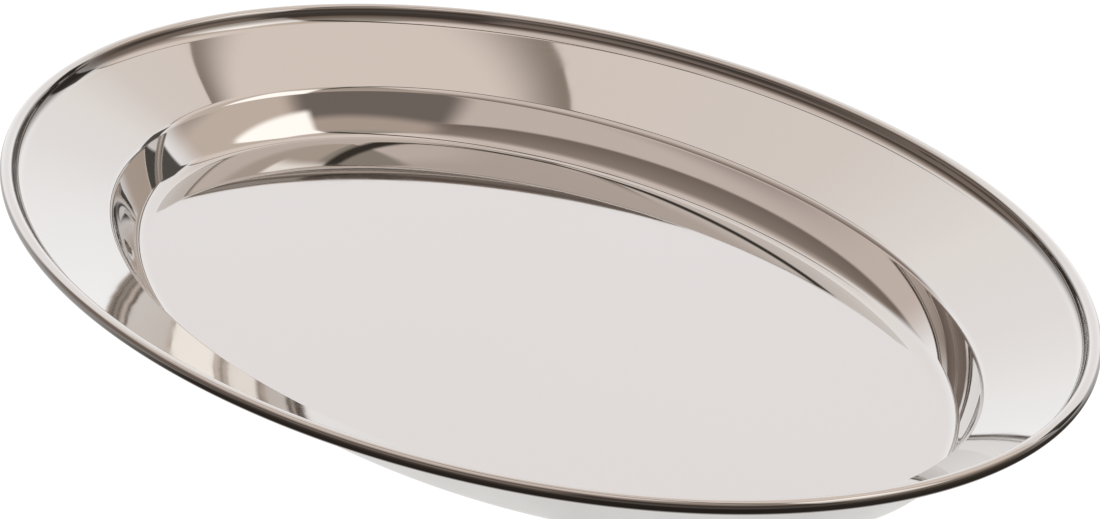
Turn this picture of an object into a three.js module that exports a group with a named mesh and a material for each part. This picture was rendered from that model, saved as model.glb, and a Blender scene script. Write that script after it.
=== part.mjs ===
// Oval serving tray, pressed from one sheet of polished stainless steel, with its edge curled
// outwards and under around a reinforcing wire.
//
// Frame: millimetres, +X along the length, +Z up. The origin is the centre of the underside, so
// the tray stands on z = 0.
//
// Every cross-section is one path, followed outwards along the sheet's upper face: the flat floor,
// the bend up into the wall, the wall, the shoulder, the sloping flange, the hollow that turns it
// up steeply at its edge, and the curl. The path is swept round the oval, so the flange keeps one
// width all the way round.

import * as THREE from "three";

// Overall size, outside the curled edge.
const LENGTH = 450;
const WIDTH = 300;

// Sheet, and the well that is pressed into it.
const SHEET = 0.8;
const WALL_ANGLE = 60;
const WALL_RUN = 12.3;
const FLOOR_BEND_RADIUS = 6;
const SHOULDER_RADIUS = 4;

// Flange between the well and the edge.
const FLANGE_ANGLE = 23.5;
const FLANGE_RUN = 30;

// Curled edge and the wire that it holds.
const GROOVE_RADIUS = 6;
const GROOVE_ANGLE = 75;
const WIRE_DIAMETER = 2.4;
const WIRE_CLEARANCE = 0.3;
const CURL_WRAP = 300;

// Fineness of the facets.
const OVAL_SEGMENTS = 72;
const WIRE_SIDES = 8;
const BEND_STEP = 15;
const CURL_STEP = 20;

const wireRadius = WIRE_DIAMETER / 2;
const curlInnerRadius = wireRadius + WIRE_CLEARANCE;
const curlOuterRadius = curlInnerRadius + SHEET;

const steel = new THREE.MeshStandardMaterial({ color: 0xdcd6d1, roughness: 0.06, metalness: 1 });
const wireSteel = new THREE.MeshStandardMaterial({ color: 0xb9b5b0, roughness: 0.35, metalness: 1 });

const radians = THREE.MathUtils.degToRad;

// A path along the sheet's upper face. Each point keeps its heading, in degrees above level, so
// that the lower face can be found straight across the thickness.
class SheetPath {
  constructor(height) {
    this.x = 0;
    this.z = height;
    this.heading = 0;
    this.points = [];
    this.mark();
  }

  mark() {
    this.points.push({ x: this.x, z: this.z, heading: this.heading });
  }

  line(run) {
    this.x += run * Math.cos(radians(this.heading));
    this.z += run * Math.sin(radians(this.heading));
    this.mark();
  }

  // Turns to a new heading along an arc: upwards about a centre above the sheet, or downwards
  // about a centre below it.
  bend(radius, heading, step) {
    const turn = heading - this.heading;
    const side = Math.sign(turn);
    const centreX = this.x - side * radius * Math.sin(radians(this.heading));
    const centreZ = this.z + side * radius * Math.cos(radians(this.heading));
    const steps = Math.ceil(Math.abs(turn) / step);
    const start = this.heading;
    for (let i = 1; i <= steps; i += 1) {
      this.heading = start + (turn * i) / steps;
      this.x = centreX + side * radius * Math.sin(radians(this.heading));
      this.z = centreZ - side * radius * Math.cos(radians(this.heading));
      this.mark();
    }
    return { x: centreX, z: centreZ };
  }
}

const path = new SheetPath(SHEET);
path.bend(FLOOR_BEND_RADIUS, WALL_ANGLE, BEND_STEP);
path.line(WALL_RUN);
path.bend(SHOULDER_RADIUS, FLANGE_ANGLE, BEND_STEP);
path.line(FLANGE_RUN);
path.bend(GROOVE_RADIUS, GROOVE_ANGLE, BEND_STEP);
const curlCentre = path.bend(curlOuterRadius, GROOVE_ANGLE - CURL_WRAP, CURL_STEP);

// How far the section reaches beyond the flat floor, and so how long and wide the floor is.
const sectionReach = curlCentre.x + curlOuterRadius;
const floorHalfLength = LENGTH / 2 - sectionReach;
const floorHalfWidth = WIDTH / 2 - sectionReach;

const upperFace = path.points.map(({ x, z }) => new THREE.Vector2(x, z));
const lowerFace = path.points.map(({ x, z, heading }) => {
  const angle = radians(heading);
  return new THREE.Vector2(x + SHEET * Math.sin(angle), z - SHEET * Math.cos(angle));
});

// Revolves a section, given outwards from the floor's edge, and draws the round shape out along X
// into the oval. The floor stretches evenly, and everything beyond it moves out as one.
function sweepRoundOval(section) {
  const lathePoints = section.map(({ x, y }) => new THREE.Vector2(floorHalfWidth + x, y));
  const geometry = new THREE.LatheGeometry(lathePoints, OVAL_SEGMENTS);
  geometry.rotateX(Math.PI / 2);
  const position = geometry.getAttribute("position");
  for (let i = 0; i < position.count; i += 1) {
    const radius = Math.hypot(position.getX(i), position.getY(i));
    const share = Math.min(radius / floorHalfWidth, 1);
    const drawnOut = radius + share * (floorHalfLength - floorHalfWidth);
    const factor = radius > 0 ? drawnOut / radius : 1;
    position.setX(i, position.getX(i) * factor);
  }
  geometry.computeVertexNormals();
  return geometry;
}

// The section of the pressed sheet, from the axis out along the lower face and back along the upper.
function platterSection() {
  const axis = -floorHalfWidth;
  const below = [new THREE.Vector2(axis, 0), ...lowerFace];
  const above = [new THREE.Vector2(axis, SHEET), ...upperFace];
  return [...below, ...above.reverse()];
}

// The round section of the wire, closed on itself.
function wireSection() {
  const section = [];
  for (let i = 0; i <= WIRE_SIDES; i += 1) {
    const angle = (2 * Math.PI * (i % WIRE_SIDES)) / WIRE_SIDES;
    const x = curlCentre.x + wireRadius * Math.cos(angle);
    const z = curlCentre.z + wireRadius * Math.sin(angle);
    section.push(new THREE.Vector2(x, z));
  }
  return section;
}

function namedMesh(name, section, material) {
  const mesh = new THREE.Mesh(sweepRoundOval(section), material);
  mesh.name = name;
  return mesh;
}

const tray = new THREE.Group();
tray.add(namedMesh("platter", platterSection(), steel));
tray.add(namedMesh("rim_wire", wireSection(), wireSteel));

export default tray;
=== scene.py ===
"""Oval serving tray in mirror-polished stainless steel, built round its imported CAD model.

The platter is drawn ring by ring, as a press and a spinner would form it, and given its sheet
thickness at the end. The wire in its curl is a ring of the same oval. Run it as a script.
"""

import math

import bpy
from bpy.props import FloatProperty, FloatVectorProperty, IntProperty, PointerProperty
from bpy.types import Operator, Panel, PropertyGroup
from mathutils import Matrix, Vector


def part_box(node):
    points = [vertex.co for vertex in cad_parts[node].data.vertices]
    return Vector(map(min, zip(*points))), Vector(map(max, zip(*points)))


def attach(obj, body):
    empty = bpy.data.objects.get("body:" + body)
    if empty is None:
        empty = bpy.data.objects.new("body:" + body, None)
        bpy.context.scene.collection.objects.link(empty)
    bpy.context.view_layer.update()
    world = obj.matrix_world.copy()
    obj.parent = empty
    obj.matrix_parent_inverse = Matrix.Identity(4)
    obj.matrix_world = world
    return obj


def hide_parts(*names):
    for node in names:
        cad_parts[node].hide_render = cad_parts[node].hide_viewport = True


bl_info = {
    "name": "Oval serving tray",
    "version": (1, 0, 0),
    "blender": (4, 5, 0),
    "location": "3D View > Sidebar > Tray",
    "description": "Models a polished oval serving tray with a curled, wired edge",
    "category": "Object",
}

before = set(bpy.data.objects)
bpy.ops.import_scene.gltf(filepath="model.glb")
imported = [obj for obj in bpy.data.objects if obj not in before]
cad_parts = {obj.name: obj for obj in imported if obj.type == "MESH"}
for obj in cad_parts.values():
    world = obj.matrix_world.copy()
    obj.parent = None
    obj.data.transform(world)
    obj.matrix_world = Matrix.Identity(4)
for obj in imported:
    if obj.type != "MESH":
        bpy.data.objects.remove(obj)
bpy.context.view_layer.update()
PLATTER_LOW, PLATTER_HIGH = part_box("platter")
WIRE_LOW, WIRE_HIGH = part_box("rim_wire")

HALF_LENGTH = PLATTER_HIGH.x
HALF_WIDTH = PLATTER_HIGH.y
WIRE_HALF_LENGTH = WIRE_HIGH.x
WIRE_HEIGHT = (WIRE_LOW.z + WIRE_HIGH.z) / 2
WIRE_RADIUS = (WIRE_HIGH.z - WIRE_LOW.z) / 2

MM = 0.001
DEGREE = math.pi / 180
ORIGIN = (0.0, 0.0, 0.0)

# Points nearer than this are one point.
WELD = 0.01 * MM

# The floor's rings, as shares of its size, from the edge inwards.
FLOOR_RINGS = (0.985, 0.93, 0.75, 0.5, 0.25, 0.02)

# The stage. Both floors lie just below the tray, so that they never share its underside's plane.
FLOOR_SPREAD = 60
SEEN_FLOOR_DROP = 0.05 * MM
MIRRORED_FLOOR_DROP = 0.2 * MM

# How far the camera's aim is turned off the middle of the tray, to its right and upwards.
AIM_RIGHT = 0.00275
AIM_UP = 0.01017

# Tones of the room that the steel mirrors.
PANEL_BEIGE = (0.70, 0.61, 0.55)
PANEL_EDGE = (0.24, 0.20, 0.165)
SCREEN_PINK = (0.56, 0.475, 0.43)
WALL_BROWN = (0.55, 0.46, 0.40)
BACK_LOWER = (0.42, 0.34, 0.29)
BACK_UPPER = (0.34, 0.30, 0.26)
BACK_DARK = (0.16, 0.135, 0.12)
SKIRTING_SIDE = (0.17, 0.145, 0.13)
SKIRTING_BACK = (0.26, 0.235, 0.22)
LAMP_WHITE = (1.15, 1.10, 1.04)
BAR_BLACK = (0.05, 0.042, 0.035)
FLAG_BLACK = (0.08, 0.075, 0.068)


# ---------------------------------------------------------------- sizes and colours


def distance(name, description, default):
    """A length that a user can set, in metres."""
    return FloatProperty(
        name=name,
        description=description,
        default=default,
        min=0,
        unit="LENGTH",
        subtype="DISTANCE",
        precision=5,
    )


def turn(name, description, degrees):
    """An angle that a user can set, given in degrees."""
    return FloatProperty(
        name=name, description=description, default=degrees * DEGREE, unit="ROTATION", subtype="ANGLE"
    )


def colour(name, description, default):
    """A linear colour that a user can set."""
    return FloatVectorProperty(
        name=name, description=description, default=default, min=0, max=1, size=3, subtype="COLOR"
    )


def amount(name, description, default, top=1.0):
    """A plain number from nothing up to top."""
    return FloatProperty(name=name, description=description, default=default, min=0, max=top, precision=4)


class TRAY_PG_shape(PropertyGroup):
    """Sizes of the pressed sheet and of its curled edge."""

    sheet: distance("Sheet", "Thickness of the steel sheet", 0.8 * MM)
    floor_bend: distance("Floor bend", "Inner radius between floor and wall", 6.0 * MM)
    wall_foot: turn("Wall foot", "Slope at the foot of the well's wall", 54)
    wall_head: turn("Wall head", "Slope at the head of the wall", 66)
    wall_run: distance("Wall run", "Length of the wall, up its slope", 12.58 * MM)
    shoulder: distance("Shoulder", "Outer radius between wall and flange", 4.0 * MM)
    flange_foot: turn("Flange foot", "Slope of the flange beside the well", 24.3)
    flange_head: turn("Flange head", "Slope of the flange beside the edge", 22.3)
    flange_run: distance("Flange run", "Length of the flange, up its slope", 30.0 * MM)
    groove: distance("Groove", "Radius of the hollow that turns the edge up", 6.0 * MM)
    groove_angle: turn("Groove angle", "Slope at which the sheet enters the curl", 75)
    curl_wrap: turn("Curl wrap", "How far the edge is rolled round the wire", 300)
    wire_gap: distance("Wire gap", "Clearance between the wire and the curl", 0.3 * MM)
    cut_edge: distance("Cut edge", "Softening of the sheet's cut edge", 0.12 * MM)
    segments: IntProperty(name="Segments", description="Faces round the oval", default=320, min=64, max=512)


class TRAY_PG_finish(PropertyGroup):
    """Colours and polish of the steel."""

    steel: colour("Steel", "Reflection colour of the polished sheet", (0.70, 0.688, 0.677))
    steel_warm: colour("Warm drift", "Reflection colour where the steel looks warmer", (0.70, 0.683, 0.668))
    # The crease colour is painted shade, laid on the hollow beside the curl and on the curl's sides.
    painted_crease_shade: colour("Crease", "Reflection colour in the hollow beside the curl", (0.13, 0.112, 0.098))
    under_steel: colour("Underside", "Reflection colour of the underside", (0.76, 0.75, 0.74))
    wire: colour("Wire", "Reflection colour of the drawn wire", (0.52, 0.50, 0.48))
    polish: amount("Polish", "Roughness of the polished face", 0.025)
    haze: amount("Haze", "Extra roughness in the buffed haze", 0.03)


class TRAY_PG_studio(PropertyGroup):
    """Floor, light and camera."""

    azimuth: turn("Azimuth", "Camera's turn about the tray", 58.03)
    elevation: turn("Elevation", "Camera's height above the floor", 23.36)
    reach: distance("Camera distance", "Camera to the middle of the tray's floor", 2.025)
    lens: FloatProperty(name="Lens", description="Focal length in millimetres", default=207.29, min=20)
    floor_colour: colour("Floor", "Colour of the studio floor", (1.0, 1.0, 1.0))
    floor_near: colour("Floor near", "The mirrored floor, under and beside the tray", (0.88, 0.87, 0.86))
    # The mirrored floor's front colour is painted shade.
    painted_floor_shade: colour("Floor front", "The mirrored floor in front of the tray", (0.06, 0.05, 0.043))
    sky_light: FloatProperty(
        name="Sky light", description="Strength of the room's light", default=1.29, min=0
    )


# ---------------------------------------------------------------- modelling helpers


def start_clean():
    """Leaves nothing selected, so that an operator acts only on what it makes."""
    if bpy.context.object and bpy.context.object.mode != "OBJECT":
        bpy.ops.object.mode_set(mode="OBJECT")
    bpy.ops.object.select_all(action="DESELECT")


def section_stops(settings):
    """The section along the sheet's upper face, as (reach beyond the floor's edge, height) stops.

    The wall and the flange each sweep gently from one slope to another, with their stops close
    together near the bends, so that a bend's shading ends where the bend does.
    """
    wire_outside = WIRE_RADIUS + settings.wire_gap + settings.sheet
    reach, height, heading = 0.0, settings.sheet, 0.0
    stops = []

    def sweep(run, first, last, count):
        nonlocal reach, height, heading
        share = 0.0
        for i in range(1, count + 1):
            new_share = (1 - math.cos(math.pi * i / count)) / 2
            slope = first + (last - first) * (share + new_share) / 2
            reach += run * (new_share - share) * math.cos(slope)
            height += run * (new_share - share) * math.sin(slope)
            stops.append((reach, height))
            share = new_share
        heading = last

    def bend(radius, new_heading, step):
        nonlocal reach, height, heading
        turned = new_heading - heading
        side = math.copysign(1, turned)
        centre_reach = reach - side * radius * math.sin(heading)
        centre_height = height + side * radius * math.cos(heading)
        count = math.ceil(abs(turned) / step)
        first = heading
        for i in range(1, count + 1):
            heading = first + turned * i / count
            reach = centre_reach + side * radius * math.sin(heading)
            height = centre_height - side * radius * math.cos(heading)
            stops.append((reach, height))

    bend(settings.floor_bend, settings.wall_foot, 4 * DEGREE)
    sweep(settings.wall_run, settings.wall_foot, settings.wall_head, 12)
    bend(settings.shoulder, settings.flange_foot, 3 * DEGREE)
    sweep(settings.flange_run, settings.flange_foot, settings.flange_head, 20)
    bend(settings.groove, settings.groove_angle, 3 * DEGREE)
    bend(wire_outside, settings.groove_angle - settings.curl_wrap, 7.5 * DEGREE)
    return stops


def section_reach(settings):
    """How far the section reaches beyond the floor's edge, to the outside of the curl."""
    return max(reach for reach, _ in section_stops(settings))


def open_ring(name, half_length, half_width, height, segments):
    """Starts a piece with one open oval ring, and leaves it in edit mode, all selected."""
    start_clean()
    bpy.ops.mesh.primitive_circle_add(
        vertices=segments, radius=1, fill_type="NOTHING", enter_editmode=True, location=ORIGIN
    )
    bpy.context.object.name = name
    bpy.ops.transform.resize(value=(half_length, half_width, 1), center_override=ORIGIN)
    bpy.ops.transform.translate(value=(0, 0, height))
    return bpy.context.object


def next_ring(before, after):
    """Extrudes the selected ring from one (half length, half width, height) to the next."""
    rise = after[2] - before[2]
    bpy.ops.mesh.extrude_region_move(TRANSFORM_OT_translate={"value": (0, 0, rise)})
    stretch = (after[0] / before[0], after[1] / before[1], 1)
    bpy.ops.transform.resize(value=stretch, center_override=ORIGIN)


def apply_modifier(piece, kind, **settings):
    """Adds a modifier with these settings and applies it."""
    modifier = piece.modifiers.new(kind.lower(), kind)
    for key, value in settings.items():
        setattr(modifier, key, value)
    bpy.ops.object.modifier_apply(modifier=modifier.name)


def place_in_mesh(piece):
    """Puts a piece's place into its mesh, so that its object sits at the origin."""
    bpy.ops.object.transform_apply(location=True, rotation=True, scale=True)
    bpy.ops.object.shade_smooth()
    piece.data.name = piece.name


# ---------------------------------------------------------------- shader maths


class Sum:
    """A number that varies over a surface: a socket, with arithmetic on it."""

    def __init__(self, shader, socket):
        self.shader = shader
        self.socket = socket

    def _math(self, operation, *values):
        return self.shader.node("ShaderNodeMath", {"operation": operation}, list(values))

    def __add__(self, other):
        return self._math("ADD", self, other)

    def __radd__(self, other):
        return self._math("ADD", other, self)

    def __sub__(self, other):
        return self._math("SUBTRACT", self, other)

    def __rsub__(self, other):
        return self._math("SUBTRACT", other, self)

    def __mul__(self, other):
        return self._math("MULTIPLY", self, other)

    def __rmul__(self, other):
        return self._math("MULTIPLY", other, self)

    def __truediv__(self, other):
        return self._math("DIVIDE", self, other)

    def __rtruediv__(self, other):
        return self._math("DIVIDE", other, self)

    def absolute(self):
        return self._math("ABSOLUTE", self)

    def at_least(self, other):
        return self._math("MAXIMUM", self, other)

    def root(self):
        return self._math("SQRT", self)

    def angle_to(self, other):
        """The angle whose tangent is self over other, in radians."""
        return self._math("ARCTAN2", self, other)

    def step(self, low, high):
        """0 below low and 1 above high, with a smooth rise between them."""
        settings = {"interpolation_type": "SMOOTHSTEP", "clamp": True}
        inputs = {"Value": self, "From Min": low, "From Max": high}
        return self.shader.node("ShaderNodeMapRange", settings, inputs, "Result")

    def fall(self, low, high):
        """1 below low and 0 above high, with a smooth fall between them."""
        return 1 - self.step(low, high)


class Shader:
    """A node tree, and the one way in which nodes are added to it."""

    def __init__(self, tree):
        self.tree = tree
        self.tree.nodes.clear()

    def node(self, kind, settings=None, inputs=None, output=0):
        """Adds a node, sets it up, feeds its sockets, and gives one of its outputs."""
        made = self.tree.nodes.new(kind)
        for key, value in (settings or {}).items():
            if key == "stops":
                self._set_ramp(made.color_ramp, value)
            else:
                setattr(made, key, value)
        pairs = inputs.items() if isinstance(inputs, dict) else enumerate(inputs or [])
        for key, value in pairs:
            self._feed(made.inputs[key], value)
        return Sum(self, made.outputs[output]) if made.outputs else made

    def _feed(self, socket, value):
        if isinstance(value, Sum):
            self.tree.links.new(value.socket, socket)
        elif isinstance(value, (tuple, list)) and len(value) == 3 and socket.type == "RGBA":
            socket.default_value = (*value, 1)
        else:
            socket.default_value = value

    @staticmethod
    def _set_ramp(ramp, stops):
        while len(ramp.elements) < len(stops):
            ramp.elements.new(1)
        for element, (place, value) in zip(ramp.elements, stops):
            element.position = place
            element.color = (*value, 1)

    def mix(self, factor, first, second):
        """Colour first where factor is 0, and second where it is 1."""
        settings = {"data_type": "RGBA"}
        inputs = {"Factor": factor, 6: first, 7: second}
        return self.node("ShaderNodeMix", settings, inputs, 2)

    def parts(self, vector):
        """The three numbers of a vector."""
        split = self.tree.nodes.new("ShaderNodeSeparateXYZ")
        self._feed(split.inputs[0], vector)
        return [Sum(self, socket) for socket in split.outputs]

    def vector(self, x, y, z):
        return self.node("ShaderNodeCombineXYZ", {}, [x, y, z])

    def noise(self, place, scale, detail=2.0, roughness=0.5):
        """Smooth noise about one half."""
        inputs = {"Vector": place, "Scale": scale, "Detail": detail, "Roughness": roughness}
        return self.node("ShaderNodeTexNoise", {"normalize": True}, inputs)


def new_material(name):
    material = bpy.data.materials.new(name)
    material.use_nodes = True
    return material, Shader(material.node_tree)


def oval_place(shader):
    """Object coordinates, and the same point as an angle round the oval and a distance from the
    middle."""
    place = shader.node("ShaderNodeTexCoord", {}, {}, "Object")
    x, y, z = shader.parts(place)
    squashed = x * (HALF_WIDTH / HALF_LENGTH)
    angle = y.angle_to(squashed)
    middle = (squashed * squashed + y * y).root()
    return place, x, y, z, angle, middle


def polished_steel(finish):
    """Mirror polish: a faint warm drift, buffed haze, hair-fine lines laid round the oval, and painted
    shade in the hollow beside the curl.
    """
    material, shader = new_material("polished_steel")
    place, x, y, z, angle, middle = oval_place(shader)
    drift = shader.noise(place, 6.0, 2.0)
    haze = shader.noise(place, 34.0, 4.0, 0.6).step(0.42, 0.78)
    # Polishing lines run round the oval on the flange, so they are short across it and long round it.
    round_lines = shader.noise(shader.vector(angle * 2.2, middle * 2600.0, z * 900.0), 1.0, 3.0, 0.65)
    # The floor was buffed along its length.
    floor_lines = shader.noise(shader.vector(x * 26.0, y * 1900.0, 0.0), 1.0, 3.0, 0.65)
    on_floor = z.fall(1.0 * MM, 1.6 * MM)
    lines = round_lines + on_floor * (floor_lines - round_lines)
    # Slow ripples left by the press and the buffing wheel.
    ripple = shader.noise(place, 42.0, 1.0)
    # The steel's drifting colour, to which the painted crease shade is added below.
    drift_and_painted_shade = shader.mix(drift.step(0.35, 0.7), tuple(finish.steel), tuple(finish.steel_warm))
    # Painted shade: the hollow beside the curl, and the curl's sides, are given a darker tone than the
    # rest, standing in for the shade and dark reflections there.
    painted_crease_shade = z.step(28.8 * MM, 30.4 * MM) * z.fall(32.6 * MM, 33.3 * MM)
    drift_and_painted_shade = shader.mix(painted_crease_shade * 0.85, drift_and_painted_shade, tuple(finish.painted_crease_shade))
    roughness = finish.polish + finish.haze * haze + 0.03 * lines.step(0.55, 0.8)
    fine = shader.node(
        "ShaderNodeBump", {}, {"Strength": 0.02, "Distance": 0.01 * MM, "Height": lines}
    )
    slow = shader.node(
        "ShaderNodeBump", {}, {"Strength": 0.10, "Distance": 0.12 * MM, "Height": ripple, "Normal": fine}
    )
    bsdf = shader.node(
        "ShaderNodeBsdfPrincipled",
        {},
        {"Base Color": drift_and_painted_shade, "Metallic": 1.0, "Roughness": roughness, "Normal": slow},
    )
    shader.node("ShaderNodeOutputMaterial", {}, {"Surface": bsdf})
    return material


def pressed_steel(finish):
    """The underside: the same steel, less finely polished, with draw lines up the wall."""
    material, shader = new_material("pressed_steel")
    place, _, _, z, angle, middle = oval_place(shader)
    clouds = shader.noise(place, 18.0, 4.0, 0.6)
    round_lines = shader.noise(shader.vector(angle * 3.0, middle * 1500.0, z * 700.0), 1.0, 4.0, 0.7)
    draw_lines = shader.noise(shader.vector(angle * 150.0, middle * 8.0, z * 8.0), 1.0, 2.0, 0.6)
    on_floor = z.fall(0.2 * MM, 0.6 * MM)
    worn = shader.noise(place, 240.0, 3.0, 0.7).step(0.5, 0.75) * on_floor
    dull = tuple(c * 0.9 for c in finish.under_steel)
    tint = shader.mix(clouds.step(0.3, 0.75), tuple(finish.under_steel), dull)
    roughness = 0.13 + 0.12 * clouds.step(0.35, 0.8) + 0.08 * round_lines + 0.10 * worn
    height = round_lines + draw_lines * 0.6 + worn * 0.5
    bump = shader.node(
        "ShaderNodeBump", {}, {"Strength": 0.05, "Distance": 0.02 * MM, "Height": height}
    )
    bsdf = shader.node(
        "ShaderNodeBsdfPrincipled",
        {},
        {"Base Color": tint, "Metallic": 1.0, "Roughness": roughness, "Normal": bump},
    )
    shader.node("ShaderNodeOutputMaterial", {}, {"Surface": bsdf})
    return material


def drawn_wire(finish):
    """Drawn steel wire: lines along its length, a thin film of grease and a dull grey tone."""
    material, shader = new_material("drawn_wire")
    place, _, _, z, angle, middle = oval_place(shader)
    lines = shader.noise(shader.vector(angle * 4.0, middle * 5200.0, z * 5200.0), 1.0, 3.0, 0.7)
    film = shader.noise(place, 60.0, 3.0, 0.6)
    dull = tuple(c * 0.72 for c in finish.wire)
    tint = shader.mix(film.step(0.35, 0.75), tuple(finish.wire), dull)
    roughness = 0.28 + 0.14 * lines + 0.10 * film
    bump = shader.node("ShaderNodeBump", {}, {"Strength": 0.3, "Distance": 0.03 * MM, "Height": lines})
    bsdf = shader.node(
        "ShaderNodeBsdfPrincipled",
        {},
        {"Base Color": tint, "Metallic": 1.0, "Roughness": roughness, "Normal": bump},
    )
    shader.node("ShaderNodeOutputMaterial", {}, {"Surface": bsdf})
    return material


# ---------------------------------------------------------------- the pieces


class TRAY_OT_platter(Operator):
    """Press the sheet into floor, wall, shoulder and flange, and curl its edge"""

    bl_idname = "tray.platter"
    bl_label = "Platter"
    bl_options = {"REGISTER", "UNDO"}

    def execute(self, context):
        shape = context.scene.tray_shape
        finish = context.scene.tray_finish
        stops = section_stops(shape)
        reach = section_reach(shape)
        floor = (HALF_LENGTH - reach, HALF_WIDTH - reach, shape.sheet)
        piece = open_ring("platter_sheet", *floor, shape.segments)

        # The floor closes inwards on its middle, in rings of the floor's own shape.
        ring = floor
        for share in FLOOR_RINGS:
            smaller = (floor[0] * share, floor[1] * share, floor[2])
            next_ring(ring, smaller)
            ring = smaller
        bpy.ops.mesh.merge(type="CENTER")

        # From the floor's edge outwards the section is drawn ring by ring.
        self.select_ring(piece, floor)
        ring = floor
        for out, height in stops:
            wider = (floor[0] + out, floor[1] + out, height)
            next_ring(ring, wider)
            ring = wider
        bpy.ops.mesh.select_all(action="SELECT")
        bpy.ops.mesh.normals_make_consistent(inside=False)
        bpy.ops.object.mode_set(mode="OBJECT")
        self.face_up(piece)

        piece.data.materials.append(polished_steel(finish))
        piece.data.materials.append(pressed_steel(finish))
        apply_modifier(
            piece,
            "SOLIDIFY",
            thickness=shape.sheet,
            offset=-1,
            use_even_offset=True,
            material_offset=1,
            material_offset_rim=1,
        )
        apply_modifier(
            piece, "BEVEL", width=shape.cut_edge, segments=2, limit_method="ANGLE", angle_limit=60 * DEGREE
        )
        place_in_mesh(piece)
        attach(piece, "root")
        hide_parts("platter")
        return {"FINISHED"}

    @staticmethod
    def select_ring(piece, ring):
        """Selects the edges of the open ring at the floor's edge."""
        half_length, half_width, _ = ring

        def on_ring(vertex):
            share = math.hypot(vertex.co.x / half_length, vertex.co.y / half_width)
            return abs(share - 1) * half_width < WELD

        bpy.ops.mesh.select_all(action="DESELECT")
        bpy.ops.object.mode_set(mode="OBJECT")
        for edge in piece.data.edges:
            edge.select = all(on_ring(piece.data.vertices[i]) for i in edge.vertices)
        for vertex in piece.data.vertices:
            vertex.select = on_ring(vertex)
        bpy.ops.object.mode_set(mode="EDIT")
        bpy.ops.mesh.select_mode(type="EDGE")

    @staticmethod
    def face_up(piece):
        """Turns the sheet's faces over if its floor faces down."""
        middle = min(piece.data.polygons, key=lambda face: face.center.length)
        if middle.normal.z < 0:
            bpy.ops.object.mode_set(mode="EDIT")
            bpy.ops.mesh.select_all(action="SELECT")
            bpy.ops.mesh.flip_normals()
            bpy.ops.object.mode_set(mode="OBJECT")


class TRAY_OT_rim_wire(Operator):
    """Bend the wire that stiffens the curled edge"""

    bl_idname = "tray.rim_wire"
    bl_label = "Rim wire"
    bl_options = {"REGISTER", "UNDO"}

    sides: IntProperty(name="Sides", description="Faces round the wire", default=20, min=8, max=48)

    def execute(self, context):
        shape = context.scene.tray_shape
        finish = context.scene.tray_finish
        inset = HALF_LENGTH - (WIRE_HALF_LENGTH - WIRE_RADIUS)
        ring = self.ring_at(0, inset)
        piece = open_ring("stiffening_wire", *ring, shape.segments)
        for i in range(1, self.sides + 1):
            after = self.ring_at(i, inset)
            next_ring(ring, after)
            ring = after
        bpy.ops.mesh.select_all(action="SELECT")
        bpy.ops.mesh.remove_doubles(threshold=WELD)
        bpy.ops.mesh.normals_make_consistent(inside=False)
        bpy.ops.object.mode_set(mode="OBJECT")
        piece.data.materials.append(drawn_wire(finish))
        place_in_mesh(piece)
        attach(piece, "root")
        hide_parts("rim_wire")
        return {"FINISHED"}

    def ring_at(self, i, inset):
        """The i-th ring round the wire's section, starting at its outside."""
        angle = 2 * math.pi * i / self.sides
        out = WIRE_RADIUS * math.cos(angle)
        height = WIRE_HEIGHT + WIRE_RADIUS * math.sin(angle)
        return HALF_LENGTH - inset + out, HALF_WIDTH - inset + out, height


# ---------------------------------------------------------------- floor, light and camera


def plain_floor(studio):
    """The plain, evenly lit floor that is seen."""
    material, shader = new_material("studio_floor")
    tint = tuple(studio.floor_colour)
    finish_floor(shader, tint)
    return material


def mirrored_floor(studio):
    """The floor that the steel mirrors: pale, and dark with painted shade beyond the tray's edge in front.
    """
    material, shader = new_material("mirrored_floor")
    x, y, _ = shader.parts(shader.node("ShaderNodeTexCoord", {}, {}, "Object"))
    x_share = x / HALF_LENGTH
    y_share = y / HALF_WIDTH
    # Painted shade: the mirrored floor turns dark beyond the tray's edge on the camera's side.
    beyond = (x_share * x_share + y_share * y_share).root().step(0.97, 1.03)
    front = (x * math.sin(studio.azimuth) - y * math.cos(studio.azimuth)).step(0.0, 0.10)
    finish_floor(shader, shader.mix(beyond * front, tuple(studio.floor_near), tuple(studio.painted_floor_shade)))
    return material


def finish_floor(shader, tint):
    """Ends a floor's material, lit evenly in its own tint."""
    inputs = {"Base Color": (0.0, 0.0, 0.0), "Emission Color": tint, "Emission Strength": 1.0}
    bsdf = shader.node("ShaderNodeBsdfPrincipled", {}, inputs)
    shader.node("ShaderNodeOutputMaterial", {}, {"Surface": bsdf})


def lay_floor(material, height):
    """A wide floor, not attached to the tray."""
    start_clean()
    bpy.ops.mesh.primitive_plane_add(size=FLOOR_SPREAD, location=(0, 0, height))
    floor = bpy.context.object
    floor.name = material.name
    floor.data.materials.append(material)
    return floor


class RoomDirection:
    """A direction in the room, told from where the camera stands. Angles are in degrees."""

    def __init__(self, shader, azimuth):
        self.shader = shader
        dx, dy, self.up = shader.parts(shader.node("ShaderNodeTexCoord", {}, {}, "Generated"))
        across = dx * math.cos(azimuth) + dy * math.sin(azimuth)
        along = dy * math.cos(azimuth) - dx * math.sin(azimuth)
        level = (across * across + along * along).root()
        self.rise = self.up.angle_to(level) / DEGREE
        self.bearing = across.angle_to(along) / DEGREE
        self.behind = self.bearing.absolute()
        self.left = self.bearing * -1.0
        # Where the direction meets a level ceiling.
        overhead = self.up.at_least(0.01)
        self.beside = across / overhead
        self.ahead = along / overhead

    def ramp(self, value, stops):
        return self.shader.node("ShaderNodeValToRGB", {"stops": stops}, {"Fac": value})


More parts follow.
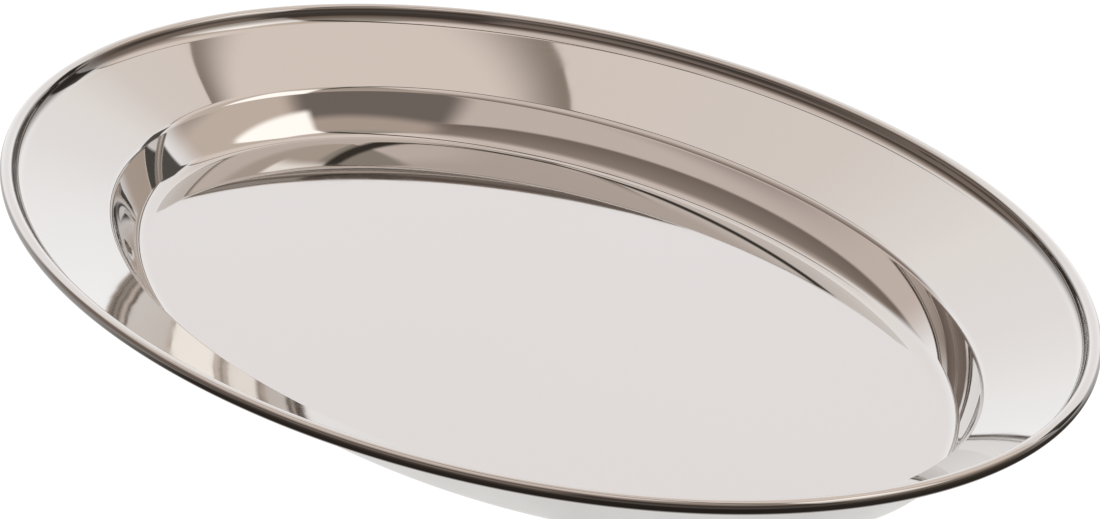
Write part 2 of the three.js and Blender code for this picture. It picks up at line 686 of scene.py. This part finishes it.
def white_sweep(way):
    """A white sweep low down, turning to beige overhead."""
    stops = [
        (0.0, (0.86, 0.86, 0.865)),
        (0.13, (0.85, 0.84, 0.84)),
        (0.26, (0.80, 0.775, 0.775)),
        (0.36, (0.80, 0.765, 0.74)),
        (0.47, (0.70, 0.64, 0.60)),
        (0.60, (0.70, 0.62, 0.57)),
        (1.0, (0.72, 0.62, 0.57)),
    ]
    return way.ramp(way.rise / 90.0, stops)


def ceiling_panel(way, sky):
    """A beige panel overhead, dark just inside its far edge."""
    depth = way.beside * 0.183 + 0.614 - way.ahead
    panel = way.shader.mix(depth.fall(0.0, 0.13), PANEL_BEIGE, PANEL_EDGE)
    inside = depth.step(0.0, 0.006) * way.up.step(0.5, 0.6) * way.behind.fall(70.0, 110.0)
    return way.shader.mix(inside, sky, panel)


def side_walls(way, sky):
    """A low pink screen with a dark gap over it on the left, and a brown wall on the right."""
    lift = way.rise - (way.left - 60.0) * 0.30 - 14.0
    stops = [
        (0.0, (0.16, 0.125, 0.105)),
        (0.35, (0.27, 0.22, 0.19)),
        (0.7, (0.42, 0.35, 0.31)),
        (1.0, (0.60, 0.52, 0.47)),
    ]
    upper = way.ramp(lift / 30.0, stops)
    screen = way.shader.mix(lift.step(0.0, 1.2), SCREEN_PINK, upper)
    sky = way.shader.mix(way.left.step(40.0, 52.0) * way.rise.fall(66.0, 76.0), sky, screen)
    return way.shader.mix(way.bearing.step(62.0, 80.0), sky, WALL_BROWN)


def dark_side(way, sky):
    """The dim side of the room behind the camera, darkest low down."""
    shader = way.shader
    high = shader.mix(way.rise.step(50.0, 70.0), BACK_LOWER, BACK_UPPER)
    sky = shader.mix(way.left.step(138.0, 150.0) + way.bearing.step(138.0, 152.0), sky, high)
    middle = (way.left.step(136.0, 146.0) + way.bearing.step(142.0, 156.0)) * way.rise.fall(38.0, 44.0)
    sky = shader.mix(middle, sky, BACK_DARK)
    sky = shader.mix(way.behind.step(60.0, 100.0) * way.rise.fall(8.0, 20.0), sky, SKIRTING_SIDE)
    return shader.mix(way.behind.step(120.0, 150.0) * way.rise.fall(8.0, 24.0), sky, SKIRTING_BACK)


def lamps_and_flags(way, sky):
    """A lamp high on the right, a dark bar overhead and a dark flag on the right."""
    shader = way.shader
    lamp = way.bearing.step(96.0, 104.0) * way.bearing.fall(152.0, 158.0)
    lamp = lamp * way.rise.step(34.0, 38.0) * way.rise.fall(66.0, 74.0)
    sky = shader.mix(lamp, sky, LAMP_WHITE)
    line = (way.beside + way.ahead * 0.62 + 0.09) / 1.18
    bar = line.absolute().fall(0.02, 0.06) * way.ahead.step(-0.5, -0.3) * way.ahead.fall(0.9, 1.3)
    sky = shader.mix(bar, sky, BAR_BLACK)
    flag = way.bearing.step(46.0, 49.0) * way.bearing.fall(62.0, 64.0) * way.rise.fall(27.0, 30.0)
    return shader.mix(flag, sky, FLAG_BLACK)


def studio_sky(studio):
    """The room that the steel mirrors, fixed in the world."""
    world = bpy.data.worlds.new("studio_sky")
    bpy.context.scene.world = world
    world.use_nodes = True
    shader = Shader(world.node_tree)
    way = RoomDirection(shader, studio.azimuth)
    sky = white_sweep(way)
    for surround in (ceiling_panel, side_walls, dark_side, lamps_and_flags):
        sky = surround(way, sky)
    background = shader.node("ShaderNodeBackground", {}, {"Color": sky, "Strength": studio.sky_light})
    shader.node("ShaderNodeOutputWorld", {}, {"Surface": background})


class TRAY_OT_studio(Operator):
    """Lay the floors, light the room and set up the camera"""

    bl_idname = "tray.studio"
    bl_label = "Studio"
    bl_options = {"REGISTER", "UNDO"}

    def execute(self, context):
        studio = context.scene.tray_studio
        lay_floor(plain_floor(studio), -SEEN_FLOOR_DROP).visible_glossy = False
        lay_floor(mirrored_floor(studio), -MIRRORED_FLOOR_DROP).visible_camera = False
        studio_sky(studio)

        # Back, right and up as the camera stands, and the small turn that centres the tray.
        back = Vector(
            (
                math.sin(studio.azimuth) * math.cos(studio.elevation),
                -math.cos(studio.azimuth) * math.cos(studio.elevation),
                math.sin(studio.elevation),
            )
        )
        right = Vector((math.cos(studio.azimuth), math.sin(studio.azimuth), 0))
        up = back.cross(right)
        middle = Vector((0, 0, context.scene.tray_shape.sheet))
        bpy.ops.object.camera_add(location=middle + back * studio.reach)
        camera = bpy.context.object
        camera.name = "camera"
        camera.data.lens = studio.lens
        camera.data.clip_start = 0.05
        camera.data.clip_end = 100
        aim = right * AIM_RIGHT + up * AIM_UP - back
        camera.rotation_mode = "QUATERNION"
        camera.rotation_quaternion = aim.to_track_quat("-Z", "Y")
        context.scene.camera = camera
        context.scene.view_settings.view_transform = "Standard"
        return {"FINISHED"}


class TRAY_PT_panel(Panel):
    """Sizes, finish and studio of the tray"""

    bl_label = "Serving tray"
    bl_idname = "TRAY_PT_panel"
    bl_space_type = "VIEW_3D"
    bl_region_type = "UI"
    bl_category = "Tray"

    def draw(self, context):
        layout = self.layout
        for group in ("tray_shape", "tray_finish", "tray_studio"):
            settings = getattr(context.scene, group)
            box = layout.box()
            for name in type(settings).__annotations__:
                box.prop(settings, name)
        for operator in (TRAY_OT_studio, TRAY_OT_platter, TRAY_OT_rim_wire):
            layout.operator(operator.bl_idname)


GROUPS = {"tray_shape": TRAY_PG_shape, "tray_finish": TRAY_PG_finish, "tray_studio": TRAY_PG_studio}
CLASSES = (*GROUPS.values(), TRAY_OT_platter, TRAY_OT_rim_wire, TRAY_OT_studio, TRAY_PT_panel)


def register():
    for cls in CLASSES:
        bpy.utils.register_class(cls)
    for name, cls in GROUPS.items():
        setattr(bpy.types.Scene, name, PointerProperty(type=cls))


def unregister():
    for name in GROUPS:
        delattr(bpy.types.Scene, name)
    for cls in reversed(CLASSES):
        bpy.utils.unregister_class(cls)


def main():
    register()
    bpy.ops.tray.studio()
    bpy.ops.tray.platter()
    bpy.ops.tray.rim_wire()


if __name__ == "__main__":
    main()
